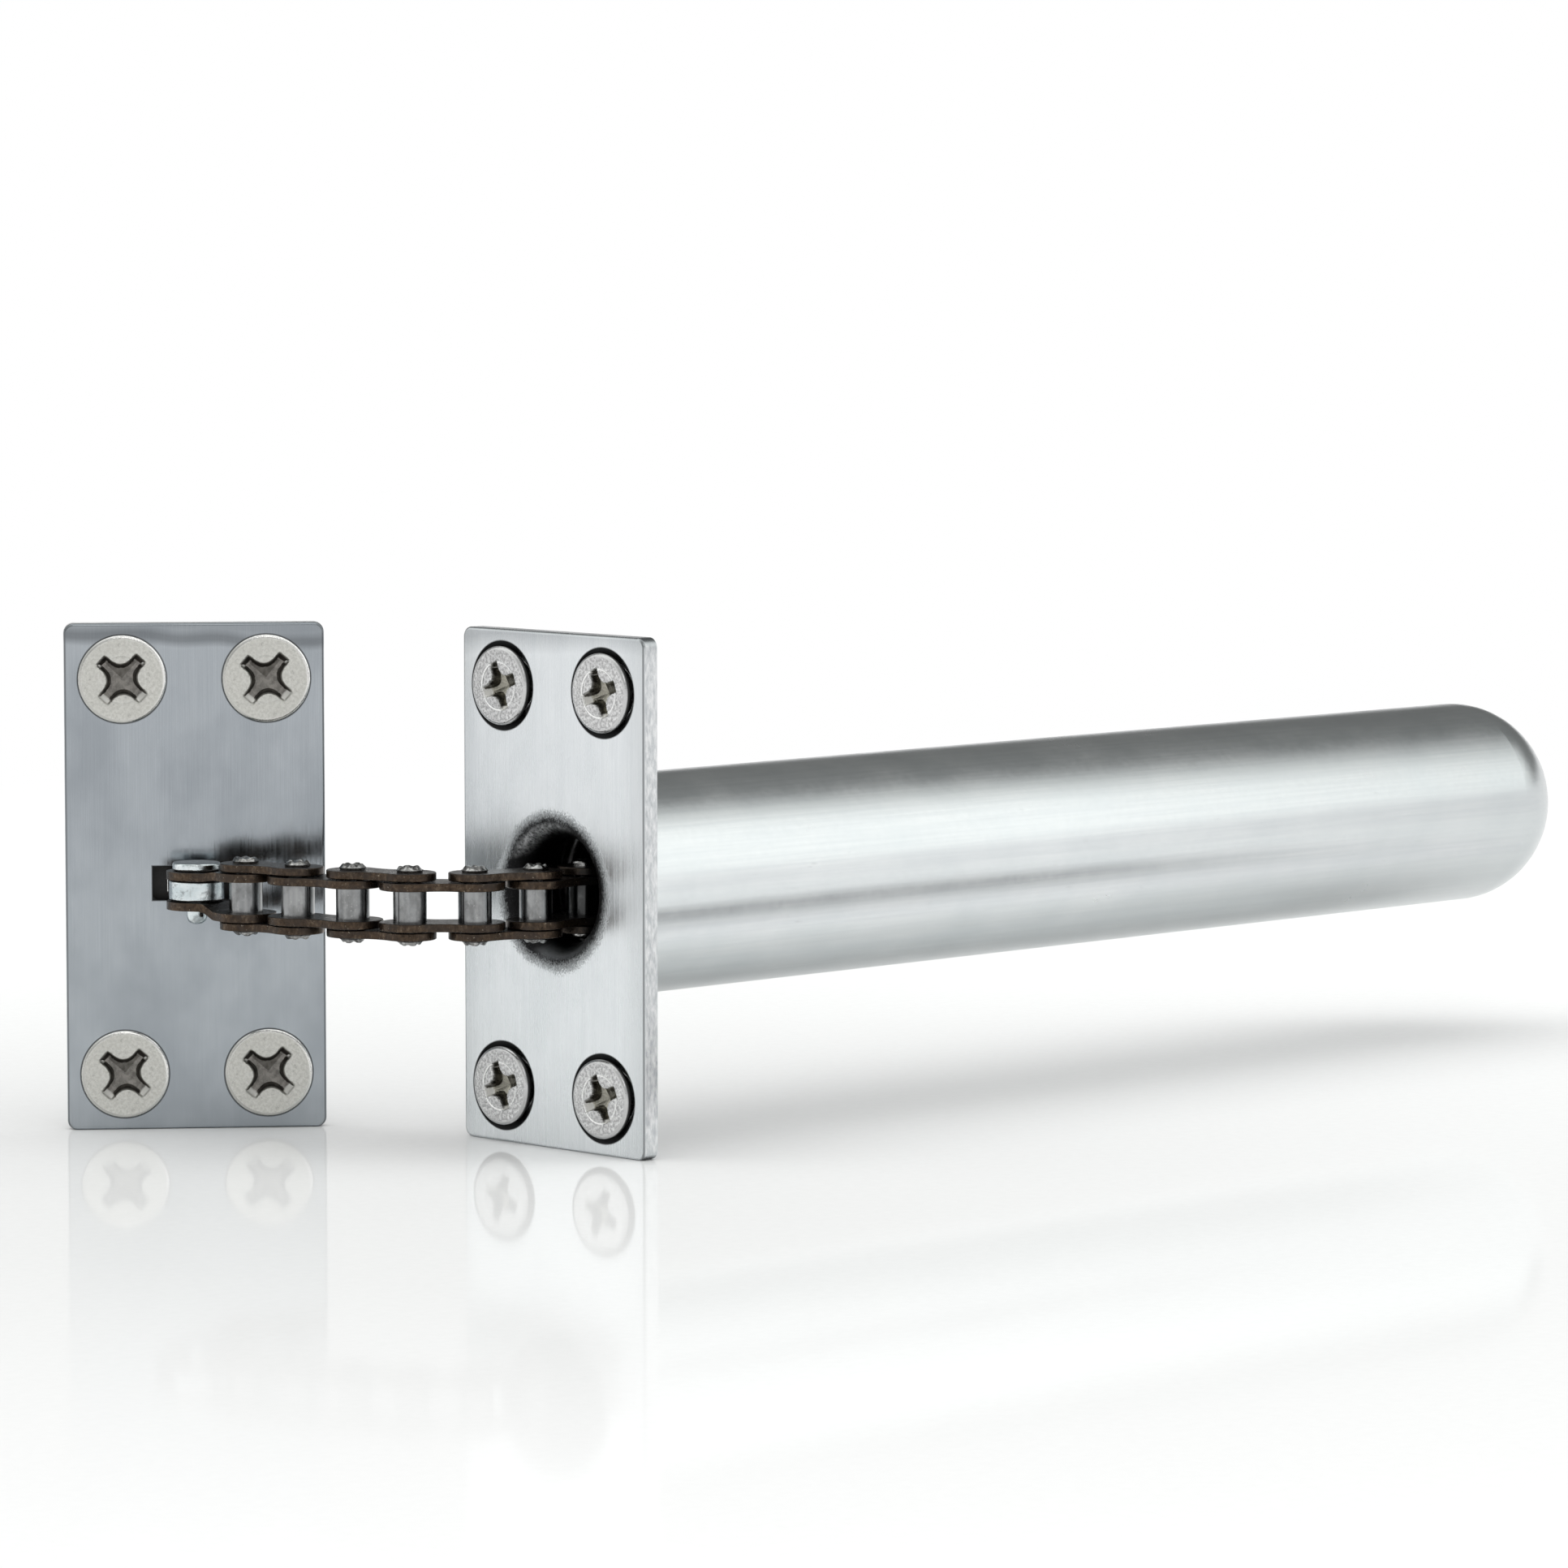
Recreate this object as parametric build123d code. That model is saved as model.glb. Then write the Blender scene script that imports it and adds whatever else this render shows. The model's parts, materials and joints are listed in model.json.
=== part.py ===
from build123d import *
import math
import os

# Concealed chain door closer: a spring tube for the door's edge, an anchor plate for the jamb,
# and a short bush chain between them, drawn out part of its way.
# Row frame, in millimetres: the origin is the centre of the forend plate's back (seating) face.
# +X runs along the tube to its domed end, +Z up the plates' length, and the chain leaves towards -X.

# ---- plates ----
PLATE_HEIGHT = 51.0
PLATE_WIDTH = 26.0
PLATE_THICKNESS = 1.8
PLATE_CORNER = 1.0
PLATE_EDGE = 0.3
SCREW_SPACING_Y = 14.4
SCREW_SPACING_Z = 39.8
COUNTERSINK_RADIUS = 4.45

# ---- dished mouth of the forend plate ----
MOUTH_RADIUS = 7.35
MOUTH_BORE_RADIUS = 5.3
MOUTH_DEPTH = 2.9
NECK_RADIUS = 6.6
NECK_LENGTH = 2.6

# ---- countersunk screws ----
SCREW_HEAD_RADIUS = 4.2
SCREW_HEAD_BEVEL = 0.25
SCREW_HEAD_RIM = 0.3
SCREW_CONE_LENGTH = 1.95
SCREW_SHANK_RADIUS = 2.0
SCREW_PROUD = 0.32
SCREW_LENGTH = 5.7
RECESS_LENGTH = 4.75
RECESS_WIDTH = 1.1
RECESS_DEPTH = 1.5
FOREND_RECESS_TURNS = (20.0, 20.0, 24.0, 20.0)
ANCHOR_RECESS_TURNS = (48.0, 50.0, 50.0, 49.0)

# ---- spring tube and what slides in it ----
TUBE_RADIUS = 11.0
TUBE_WALL = 0.9
TUBE_END_X = 146.2
TUBE_SEAT_DEPTH = 0.4
TUBE_SPIGOT_RADIUS = 10.5
DOME_RADIUS = 10.2
SEAT_THICKNESS = 1.4
SPRING_WIRE_RADIUS = 0.95
SPRING_MEAN_RADIUS = 8.3
SPRING_TURNS = 14
PLUNGER_FRONT_X = 56.0
PLUNGER_LENGTH = 5.0
PLUNGER_CLEARANCE = 0.07
ROD_RADIUS = 2.25
ROD_EYE_THICKNESS = 4.6
NUT_ACROSS_FLATS = 8.0
NUT_THICKNESS = 3.2
WASHER_THICKNESS = 1.0
WASHER_RADIUS = 4.5

# ---- chain, 6.35 mm pitch ----
PITCH = 6.35
CHAIN_Z = -1.0
FIRST_PIVOT_X = 2.32
LINK_HEADINGS = (0.0, 23.0, 45.0, 70.0, 73.0, 77.0, 80.0)
ANCHOR_HEADING = 129.0
TUBE_LINKS = 5
INNER_GAP = 3.18
LINK_THICKNESS = 0.8
LINK_SIDE_PLAY = 0.1
INNER_LINK_RADIUS = 3.0
INNER_LINK_WAIST = 2.3
OUTER_LINK_RADIUS = 2.6
OUTER_LINK_WAIST = 1.9
LINK_EDGE = 0.12
PIN_RADIUS = 1.155
PIN_LENGTH = 7.8
BUSH_RADIUS = 1.65
BUSH_BORE_RADIUS = 1.19
BUSH_SEAM = 0.1
PRESS_CLEARANCE = 0.03
SEAM_HEADINGS = {1: 60.0, 2: 75.0, 3: 60.0, 4: 187.0, 5: 187.0, 6: 60.0, 7: 60.0}

# ---- clevis link, clevis pin and anchor tongue ----
CRANK_START = 2.6
CRANK_END = 4.0
CRANK_TOP = 0.23
CRANK_BOTTOM = 0.75
CRANK_BEND_RADIUS = 1.4
CLEVIS_PIN_RADIUS = 1.05
CLEVIS_HOLE_CLEARANCE = 0.05
CLEVIS_HEAD_RADIUS = 2.4
CLEVIS_HEAD_THICKNESS = 0.8
CLEVIS_PIN_DROP = 1.55
TONGUE_THICKNESS = 2.0
TONGUE_RADIUS = 2.75
TONGUE_REACH = 5.6
TONGUE_TAIL = 2.3
SLOT_LENGTH = 8.6
SLOT_HEIGHT = 3.4
SLOT_CORNER = 0.6
SLOT_Z = -0.65
BACKING_WIDTH = 12.0
BACKING_HEIGHT = 7.2
BACKING_THICKNESS = 1.5

# ---- worked out from the dimensions above ----
FRONT_X = -PLATE_THICKNESS
TUBE_BORE_RADIUS = TUBE_RADIUS - TUBE_WALL
INNER_PLATE_Z = INNER_GAP / 2
OUTER_PLATE_Z = INNER_PLATE_Z + LINK_THICKNESS + LINK_SIDE_PLAY
BUSH_LENGTH = INNER_GAP + 2 * LINK_THICKNESS
CLEVIS_TOP_Z = INNER_PLATE_Z - CRANK_TOP
CLEVIS_BOTTOM_Z = -INNER_PLATE_Z + CRANK_BOTTOM
TONGUE_Z = (CLEVIS_TOP_Z + CLEVIS_BOTTOM_Z) / 2


def heading_vector(heading):
    """Unit vector of a chain heading: 0 points out of the mouth, 90 points along +Y."""
    angle = math.radians(heading)
    return Vector(-math.cos(angle), math.sin(angle), 0)


def chain_pivots():
    """Pivot 7 lies just inside the mouth; each link steps one pitch on, down to pivot 0 at the clevis."""
    points = [Vector(FIRST_PIVOT_X, 0, CHAIN_Z)]
    for heading in LINK_HEADINGS:
        points.append(points[-1] + heading_vector(heading) * PITCH)
    return points[::-1]


PIVOTS = chain_pivots()


def link_place(number):
    """Where link NUMBER's own frame lies: its x axis runs from pivot NUMBER to the pivot before it."""
    heading = LINK_HEADINGS[len(LINK_HEADINGS) - number]
    return Location(PIVOTS[number], (0, 0, 180 - heading))


def tube_link_place(index):
    """Where the frame of in-tube link INDEX lies: its x axis runs from the deeper pin outwards."""
    x = FIRST_PIVOT_X + (index + 1) * PITCH
    return Location((x, 0, CHAIN_Z), (0, 0, 180))


def anchor_place():
    """The anchor plate's frame: its x axis runs from the plate's front to its back."""
    front = PIVOTS[0] + heading_vector(ANCHOR_HEADING) * TONGUE_REACH
    back = front + heading_vector(ANCHOR_HEADING) * PLATE_THICKNESS
    return Location((back.X, back.Y, 0), (0, 0, 180 - ANCHOR_HEADING))


def ring(outer, inner, length):
    """A plain ring standing on z = 0."""
    low = (Align.CENTER, Align.CENTER, Align.MIN)
    return Cylinder(outer, length, align=low) - Cylinder(inner, length, align=low)


def along_x(shape, x):
    """Lay a shape that stands on z = 0 along +X, starting at x."""
    return Pos(x, 0, 0) * (Rot(0, 90, 0) * shape)


def screw_centres():
    """The four (y, z) places of a plate's screws."""
    y = SCREW_SPACING_Y / 2
    z = SCREW_SPACING_Z / 2
    return [(y, z), (-y, z), (-y, -z), (y, -z)]


# ---- plates and screws ----


def plate_blank():
    """A stamped plate with rounded edges and four countersunk holes; its back face is at x = 0."""
    blank = Pos(FRONT_X / 2, 0, 0) * Box(PLATE_THICKNESS, PLATE_WIDTH, PLATE_HEIGHT)
    blank = fillet(blank.edges().filter_by(Axis.X), PLATE_CORNER)
    blank = fillet(blank.faces().sort_by(Axis.X)[0].edges(), PLATE_EDGE)
    low = (Align.CENTER, Align.CENTER, Align.MIN)
    back_radius = COUNTERSINK_RADIUS - PLATE_THICKNESS
    cone = along_x(Cone(COUNTERSINK_RADIUS, back_radius, PLATE_THICKNESS, align=low), FRONT_X)
    for y, z in screw_centres():
        blank -= Pos(0, y, z) * cone
    return blank


def mouth_cutter():
    """The space inside the dished mouth: a rounded lip that narrows into a straight bore."""
    lip_end_x = FRONT_X + MOUTH_DEPTH
    start = (FRONT_X, MOUTH_RADIUS)
    end = (lip_end_x, MOUTH_BORE_RADIUS)
    half = math.sqrt(0.5)
    middle = (
        lip_end_x - MOUTH_DEPTH * half,
        MOUTH_RADIUS - (MOUTH_RADIUS - MOUTH_BORE_RADIUS) * half,
    )
    lip = Spline(start, middle, end, tangents=((0, -1), (1, 0)))
    rest = Polyline(end, (NECK_LENGTH + 1, MOUTH_BORE_RADIUS), (NECK_LENGTH + 1, 0), (FRONT_X - 1, 0))
    close = Polyline((FRONT_X - 1, 0), (FRONT_X - 1, MOUTH_RADIUS), start)
    return revolve(make_face(lip + rest + close), Axis.X)


def forend_plate():
    """Plate with the drawn neck behind its mouth and a rebate that the tube's end sits in."""
    plate = plate_blank()
    plate -= along_x(ring(TUBE_RADIUS + 0.05, NECK_RADIUS, TUBE_SEAT_DEPTH), -TUBE_SEAT_DEPTH)
    neck = Cylinder(NECK_RADIUS, NECK_LENGTH + 1, align=(Align.CENTER, Align.CENTER, Align.MIN))
    plate += along_x(neck, -1)
    return plate - mouth_cutter()


def anchor_plate():
    """Plate with an oblong slot for the tongue."""
    outline = RectangleRounded(SLOT_LENGTH, SLOT_HEIGHT, SLOT_CORNER)
    slot = extrude(Plane.YZ * outline, PLATE_THICKNESS + 1, both=True)
    return plate_blank() - Pos(0, 0, SLOT_Z) * slot


def screw(turn):
    """Countersunk screw along +X, its cross recess turned anticlockwise as seen from the front."""
    head_x = FRONT_X - SCREW_PROUD
    cone_x = head_x + SCREW_HEAD_BEVEL + SCREW_HEAD_RIM
    cone_end_x = cone_x + SCREW_CONE_LENGTH
    tip_x = head_x + SCREW_LENGTH
    outline = Polyline(
        (head_x, 0),
        (head_x, SCREW_HEAD_RADIUS - SCREW_HEAD_BEVEL),
        (head_x + SCREW_HEAD_BEVEL, SCREW_HEAD_RADIUS),
        (cone_x, SCREW_HEAD_RADIUS),
        (cone_end_x, SCREW_SHANK_RADIUS),
        (tip_x - 0.3, SCREW_SHANK_RADIUS),
        (tip_x, SCREW_SHANK_RADIUS - 0.3),
        (tip_x, 0),
        close=True,
    )
    body = revolve(make_face(outline), Axis.X)
    for angle in (-turn, 90 - turn):
        wing_top = Rectangle(RECESS_LENGTH, RECESS_WIDTH)
        wing_bottom = Pos(0, 0, RECESS_DEPTH) * Rectangle(RECESS_LENGTH / 2, RECESS_WIDTH / 2)
        wing = loft([wing_top, wing_bottom])
        body -= Pos(head_x, 0, 0) * (Rot(angle, 0, 0) * (Rot(0, 90, 0) * wing))
    return body


def screws(turns):
    """The four screws of one plate."""
    return [Pos(0, y, z) * screw(turn) for (y, z), turn in zip(screw_centres(), turns)]


# ---- spring tube and draw gear ----


def spring_tube():
    """Thin tube, turned down where it sits in the forend plate and closed by a dome at the other end."""
    low = (Align.CENTER, Align.CENTER, Align.MIN)
    outside = Cylinder(TUBE_RADIUS, TUBE_END_X, align=low)
    outside = fillet(outside.faces().sort_by(Axis.Z)[-1].edges(), DOME_RADIUS)
    inside = Cylinder(TUBE_BORE_RADIUS, TUBE_END_X - TUBE_WALL, align=low)
    inside = fillet(inside.faces().sort_by(Axis.Z)[-1].edges(), DOME_RADIUS - TUBE_WALL)
    spigot = ring(TUBE_SPIGOT_RADIUS, TUBE_BORE_RADIUS, TUBE_SEAT_DEPTH + 1)
    return along_x(outside - inside, 0) + along_x(spigot, -TUBE_SEAT_DEPTH)


def spring_seat():
    """Ring round the neck that the spring bears on."""
    return along_x(ring(TUBE_BORE_RADIUS - 0.15, NECK_RADIUS + 0.05, SEAT_THICKNESS), -TUBE_SEAT_DEPTH)


def main_spring():
    """Compression spring between the seat and the plunger."""
    start_x = SEAT_THICKNESS - TUBE_SEAT_DEPTH + SPRING_WIRE_RADIUS + 0.05
    end_x = PLUNGER_FRONT_X - SPRING_WIRE_RADIUS - 0.05
    pitch = (end_x - start_x) / SPRING_TURNS
    path = Helix(pitch, end_x - start_x, SPRING_MEAN_RADIUS)
    section = Plane(path @ 0, z_dir=path % 0) * Circle(SPRING_WIRE_RADIUS)
    return along_x(sweep(section, path, is_frenet=True), start_x)


def draw_rod():
    """Rod with an eye at the chain's inner end and the nut's seat at the other."""
    eye_x = FIRST_PIVOT_X + TUBE_LINKS * PITCH
    neck_length = 6.0
    eye = Pos(eye_x, 0, CHAIN_Z) * Cylinder(OUTER_LINK_RADIUS, ROD_EYE_THICKNESS)
    shoulder = Pos(eye_x + neck_length / 2, 0, CHAIN_Z) * Box(
        neck_length, 2 * OUTER_LINK_RADIUS, ROD_EYE_THICKNESS
    )
    rod_start = eye_x + neck_length - 1
    rod_end = PLUNGER_FRONT_X + PLUNGER_LENGTH + WASHER_THICKNESS + NUT_THICKNESS + 2
    rod = Cylinder(ROD_RADIUS, rod_end - rod_start, align=(Align.CENTER, Align.CENTER, Align.MIN))
    pin_hole = Pos(eye_x, 0, CHAIN_Z) * Cylinder(BUSH_BORE_RADIUS, 2 * ROD_EYE_THICKNESS)
    return eye + shoulder + along_x(rod, rod_start) - pin_hole


def plunger():
    """Piston that slides in the tube, with a grease groove round its middle."""
    radius = TUBE_BORE_RADIUS - PLUNGER_CLEARANCE
    body = ring(radius, ROD_RADIUS + 0.05, PLUNGER_LENGTH)
    groove = Pos(0, 0, PLUNGER_LENGTH / 2 - 0.5) * ring(radius + 1, radius - 0.6, 1.0)
    return along_x(body - groove, PLUNGER_FRONT_X)


def plunger_washer():
    """Washer between the plunger and its nut."""
    washer = ring(WASHER_RADIUS, ROD_RADIUS + 0.05, WASHER_THICKNESS)
    return along_x(washer, PLUNGER_FRONT_X + PLUNGER_LENGTH)


def plunger_nut():
    """Hexagon nut that holds the plunger on the rod."""
    hexagon = RegularPolygon(NUT_ACROSS_FLATS / 2, 6, major_radius=False)
    nut = extrude(hexagon - Circle(ROD_RADIUS + 0.05), NUT_THICKNESS)
    return along_x(nut, PLUNGER_FRONT_X + PLUNGER_LENGTH + WASHER_THICKNESS)


# ---- chain ----


def link_outline(end_radius, waist):
    """Figure-of-eight outline from pivot (0, 0) to pivot (PITCH, 0), its waist blended by arcs."""
    half_pitch = PITCH / 2
    waist_radius = (half_pitch**2 + waist**2 - end_radius**2) / (2 * (end_radius - waist))
    share = end_radius / (end_radius + waist_radius)
    touch_x = half_pitch * share
    touch_y = (waist + waist_radius) * share
    far_x = PITCH - touch_x
    outline = [
        ThreePointArc((touch_x, touch_y), (half_pitch, waist), (far_x, touch_y)),
        ThreePointArc((far_x, touch_y), (PITCH + end_radius, 0), (far_x, -touch_y)),
        ThreePointArc((far_x, -touch_y), (half_pitch, -waist), (touch_x, -touch_y)),
        ThreePointArc((touch_x, -touch_y), (-end_radius, 0), (touch_x, touch_y)),
    ]
    return make_face(outline)


def link_plate(end_radius, waist, hole_radius):
    """One flat link plate standing on z = 0, with softened edges."""
    plate = extrude(link_outline(end_radius, waist), LINK_THICKNESS)
    rims = plate.faces().filter_by(Axis.Z).edges()
    plate = fillet(rims, LINK_EDGE)
    for x in (0, PITCH):
        plate -= Pos(x, 0, 0) * Cylinder(hole_radius, 4 * LINK_THICKNESS)
    return plate


def outer_plates():
    """The upper and lower plate of an outer link."""
    plate = link_plate(OUTER_LINK_RADIUS, OUTER_LINK_WAIST, PIN_RADIUS + PRESS_CLEARANCE)
    return [Pos(0, 0, OUTER_PLATE_Z) * plate, Pos(0, 0, -OUTER_PLATE_Z - LINK_THICKNESS) * plate]


def inner_plates():
    """The upper and lower plate of an inner link."""
    plate = link_plate(INNER_LINK_RADIUS, INNER_LINK_WAIST, BUSH_RADIUS + PRESS_CLEARANCE)
    return [Pos(0, 0, INNER_PLATE_Z) * plate, Pos(0, 0, -INNER_PLATE_Z - LINK_THICKNESS) * plate]


def pin():
    """Riveted chain pin with rounded ends."""
    body = Cylinder(PIN_RADIUS, PIN_LENGTH)
    return fillet(body.edges().filter_by(GeomType.CIRCLE), 0.35)


def pins():
    """The two pins of an outer link."""
    return [pin(), Pos(PITCH, 0, 0) * pin()]


def bush(seam_angle):
    """Curled bush with a fine seam at SEAM_ANGLE degrees round from its own x axis."""
    body = Pos(0, 0, -BUSH_LENGTH / 2) * ring(BUSH_RADIUS, BUSH_BORE_RADIUS, BUSH_LENGTH)
    seam = Pos(BUSH_RADIUS, 0, 0) * Box(BUSH_RADIUS, BUSH_SEAM, 2 * BUSH_LENGTH)
    return body - Rot(0, 0, seam_angle) * seam


def bush_at(number):
    """The bush at chain pivot NUMBER, in the row frame."""
    return Pos(*PIVOTS[number]) * bush(SEAM_HEADINGS[number])


def cranked_plate(step):
    """Clevis link plate whose end at (PITCH, 0) is lowered by STEP; the other end stands on z = 0."""
    far = PITCH + INNER_LINK_RADIUS + 1
    near = -INNER_LINK_RADIUS - 1
    outline = Polyline(
        (near, 0),
        (PITCH - CRANK_END, 0),
        (PITCH - CRANK_START, -step),
        (far, -step),
        (far, LINK_THICKNESS - step),
        (PITCH - CRANK_START, LINK_THICKNESS - step),
        (PITCH - CRANK_END, LINK_THICKNESS),
        (near, LINK_THICKNESS),
        close=True,
    )
    side = make_face(outline)
    bends = [corner for corner in side.vertices() if near + 1 < corner.X < far - 1]
    side = fillet(bends, CRANK_BEND_RADIUS)
    strip = extrude(Plane.XZ * side, 2 * INNER_LINK_RADIUS, both=True)
    blank = extrude(link_outline(INNER_LINK_RADIUS, INNER_LINK_WAIST), 4 * LINK_THICKNESS, both=True)
    plate = blank & strip
    plate -= Cylinder(BUSH_RADIUS + PRESS_CLEARANCE, 8 * LINK_THICKNESS)
    hole = Cylinder(CLEVIS_PIN_RADIUS + CLEVIS_HOLE_CLEARANCE, 8 * LINK_THICKNESS)
    return plate - Pos(PITCH, 0, 0) * hole


def clevis_plates():
    """The two cranked plates that close round the tongue's eye."""
    top = Pos(0, 0, INNER_PLATE_Z) * cranked_plate(CRANK_TOP)
    bottom = Pos(0, 0, -INNER_PLATE_Z) * (Rot(180, 0, 0) * cranked_plate(CRANK_BOTTOM))
    return [top, bottom]


def clevis_pin():
    """Loose pin with a flat round head and a rounded tip."""
    head_z = CLEVIS_TOP_Z + LINK_THICKNESS + 0.05
    tip_z = CLEVIS_BOTTOM_Z - LINK_THICKNESS - CLEVIS_PIN_DROP
    low = (Align.CENTER, Align.CENTER, Align.MIN)
    head = Cylinder(CLEVIS_HEAD_RADIUS, CLEVIS_HEAD_THICKNESS, align=low)
    head = fillet(head.edges().filter_by(GeomType.CIRCLE), 0.22)
    shank = Cylinder(CLEVIS_PIN_RADIUS, head_z - tip_z + 0.3, align=low)
    shank = fillet(shank.faces().sort_by(Axis.Z)[0].edges(), 0.85)
    return Pos(*PIVOTS[0]) * (Pos(0, 0, head_z) * head + Pos(0, 0, tip_z) * shank)


def anchor_tongue():
    """Flat bar with a round eye; its frame is the anchor plate's."""
    eye_x = FRONT_X - TONGUE_REACH
    sides = Polyline(
        (eye_x, TONGUE_RADIUS),
        (TONGUE_TAIL, TONGUE_RADIUS),
        (TONGUE_TAIL, -TONGUE_RADIUS),
        (eye_x, -TONGUE_RADIUS),
    )
    eye = ThreePointArc((eye_x, -TONGUE_RADIUS), (eye_x - TONGUE_RADIUS, 0), (eye_x, TONGUE_RADIUS))
    tongue = extrude(make_face(sides + eye), TONGUE_THICKNESS / 2, both=True)
    tongue = fillet(tongue.edges().filter_by(Axis.Z).sort_by(Axis.X)[-2:], 0.5)
    tongue = fillet(tongue.faces().filter_by(Axis.Z).edges(), 0.2)
    tongue -= Pos(eye_x, 0, 0) * Cylinder(CLEVIS_PIN_RADIUS + CLEVIS_HOLE_CLEARANCE, 2 * TONGUE_THICKNESS)
    return Pos(0, 0, CHAIN_Z + TONGUE_Z) * tongue


def tongue_backing():
    """Oblong plate behind the anchor's slot, with the tongue's tail riveted through it."""
    blank = extrude(Plane.YZ * RectangleRounded(BACKING_WIDTH, BACKING_HEIGHT, 1.0), BACKING_THICKNESS)
    blank = Pos(0, 0, SLOT_Z) * blank
    width = 2 * TONGUE_RADIUS + 0.1
    hole = Box(4 * BACKING_THICKNESS, width, TONGUE_THICKNESS + 0.1)
    return blank - Pos(0, 0, CHAIN_Z + TONGUE_Z) * hole


# ---- nodes ----


def chain_nodes():
    """The links that hang outside the mouth, each with its own plates and its own pins or bushes."""
    nodes = {}
    for number in range(2, 8):
        place = link_place(number)
        if number % 2 == 0:
            nodes[f"link_{number}_plates"] = [place * plate for plate in outer_plates()]
            nodes[f"link_{number}_pins"] = [place * one_pin for one_pin in pins()]
        else:
            nodes[f"link_{number}_plates"] = [place * plate for plate in inner_plates()]
            nodes[f"link_{number}_bushes"] = [bush_at(number), bush_at(number - 1)]
    nodes["clevis_link_plates"] = [link_place(1) * plate for plate in clevis_plates()]
    nodes["clevis_link_bush"] = [bush_at(1)]
    return nodes


def tube_chain_nodes():
    """The links that stay straight inside the tube, outer and inner by turns."""
    nodes = {"tube_outer_plates": [], "tube_pins": [], "tube_inner_plates": [], "tube_bushes": []}
    for index in range(TUBE_LINKS):
        place = tube_link_place(index)
        if index % 2 == 0:
            nodes["tube_outer_plates"] += [place * plate for plate in outer_plates()]
            nodes["tube_pins"] += [place * one_pin for one_pin in pins()]
        else:
            nodes["tube_inner_plates"] += [place * plate for plate in inner_plates()]
            nodes["tube_bushes"] += [place * bush(90), place * (Pos(PITCH, 0, 0) * bush(90))]
    return nodes


def all_nodes():
    anchor = anchor_place()
    nodes = {
        "forend_plate": [forend_plate()],
        "forend_screws": screws(FOREND_RECESS_TURNS),
        "spring_tube": [spring_tube()],
        "spring_seat": [spring_seat()],
        "main_spring": [main_spring()],
        "draw_rod": [draw_rod()],
        "plunger": [plunger()],
        "plunger_washer": [plunger_washer()],
        "plunger_nut": [plunger_nut()],
        "clevis_pin": [clevis_pin()],
        "anchor_plate": [anchor * anchor_plate()],
        "anchor_screws": [anchor * one_screw for one_screw in screws(ANCHOR_RECESS_TURNS)],
        "anchor_tongue": [anchor * anchor_tongue()],
        "tongue_backing": [anchor * tongue_backing()],
    }
    nodes.update(chain_nodes())
    nodes.update(tube_chain_nodes())
    return nodes


def main():
    os.makedirs("parts", exist_ok=True)
    for name, solids in all_nodes().items():
        shape = solids[0] if len(solids) == 1 else Compound(children=solids)
        export_step(shape, f"parts/{name}.step")
    for number, point in enumerate(PIVOTS):
        print(f"pivot {number}: {point.X:.4f} {point.Y:.4f} {point.Z:.4f}")


main()
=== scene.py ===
import json
import math
import bpy
from mathutils import Matrix, Vector, noise

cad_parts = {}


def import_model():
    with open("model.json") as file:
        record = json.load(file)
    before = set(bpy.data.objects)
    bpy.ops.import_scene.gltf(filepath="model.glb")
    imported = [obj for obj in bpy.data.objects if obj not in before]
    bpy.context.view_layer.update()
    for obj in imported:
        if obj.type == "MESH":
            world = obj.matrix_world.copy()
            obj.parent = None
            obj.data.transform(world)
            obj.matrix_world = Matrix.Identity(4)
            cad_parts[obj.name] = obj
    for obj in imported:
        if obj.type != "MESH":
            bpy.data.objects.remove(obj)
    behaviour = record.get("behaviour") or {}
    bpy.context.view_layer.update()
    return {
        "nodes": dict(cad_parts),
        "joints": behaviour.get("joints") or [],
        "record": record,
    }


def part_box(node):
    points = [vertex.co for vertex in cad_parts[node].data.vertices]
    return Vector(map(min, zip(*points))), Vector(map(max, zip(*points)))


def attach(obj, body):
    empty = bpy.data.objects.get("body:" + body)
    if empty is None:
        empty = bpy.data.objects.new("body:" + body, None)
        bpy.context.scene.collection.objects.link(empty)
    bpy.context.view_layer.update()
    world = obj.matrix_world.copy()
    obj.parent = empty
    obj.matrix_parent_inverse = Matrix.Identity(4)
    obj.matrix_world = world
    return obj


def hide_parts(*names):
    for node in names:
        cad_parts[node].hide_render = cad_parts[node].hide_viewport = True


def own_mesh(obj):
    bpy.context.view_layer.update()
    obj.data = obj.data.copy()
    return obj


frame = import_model()
NODES = frame["nodes"]
JOINTS = {joint["name"]: joint for joint in frame["joints"]}
MM = 0.001

# ---- the camera: its angle, its lens in millimetres, and how far off the forend's middle it aims ----
CAMERA_AZIMUTH = math.radians(-44.86)
CAMERA_PITCH = math.radians(5.055)
CAMERA_DISTANCE = 0.6786
CAMERA_LENS = 158.5
AIM_RIGHT = 22.74 * MM
AIM_UP = 10.54 * MM

# ---- places on the plates: the backs of both plates are at x = 0 of their own axes ----
FOREND_LOW, FOREND_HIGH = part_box("forend_plate")
PLATE_TOP = FOREND_HIGH.z
FRONT_X = FOREND_LOW.x
FLOOR_Z = FOREND_LOW.z
PLATE_THICKNESS = -FRONT_X
SCREW_Y = 7.2 * MM
SCREW_Z = 19.9 * MM
COUNTERSINK_RADIUS = 4.42 * MM
SLOT_HALF_LENGTH = 4.3 * MM
SLOT_HALF_HEIGHT = 1.7 * MM
SLOT_Z = -0.65 * MM
ANCHOR_SEAT = next(mount for mount in frame["record"]["mounts"] if mount["name"] == "anchor_seat")
ANCHOR_BACK = Vector(ANCHOR_SEAT["pos_m"])
ANCHOR_TURN = math.atan2(ANCHOR_SEAT["axis"][1], ANCHOR_SEAT["axis"][0])

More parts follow.
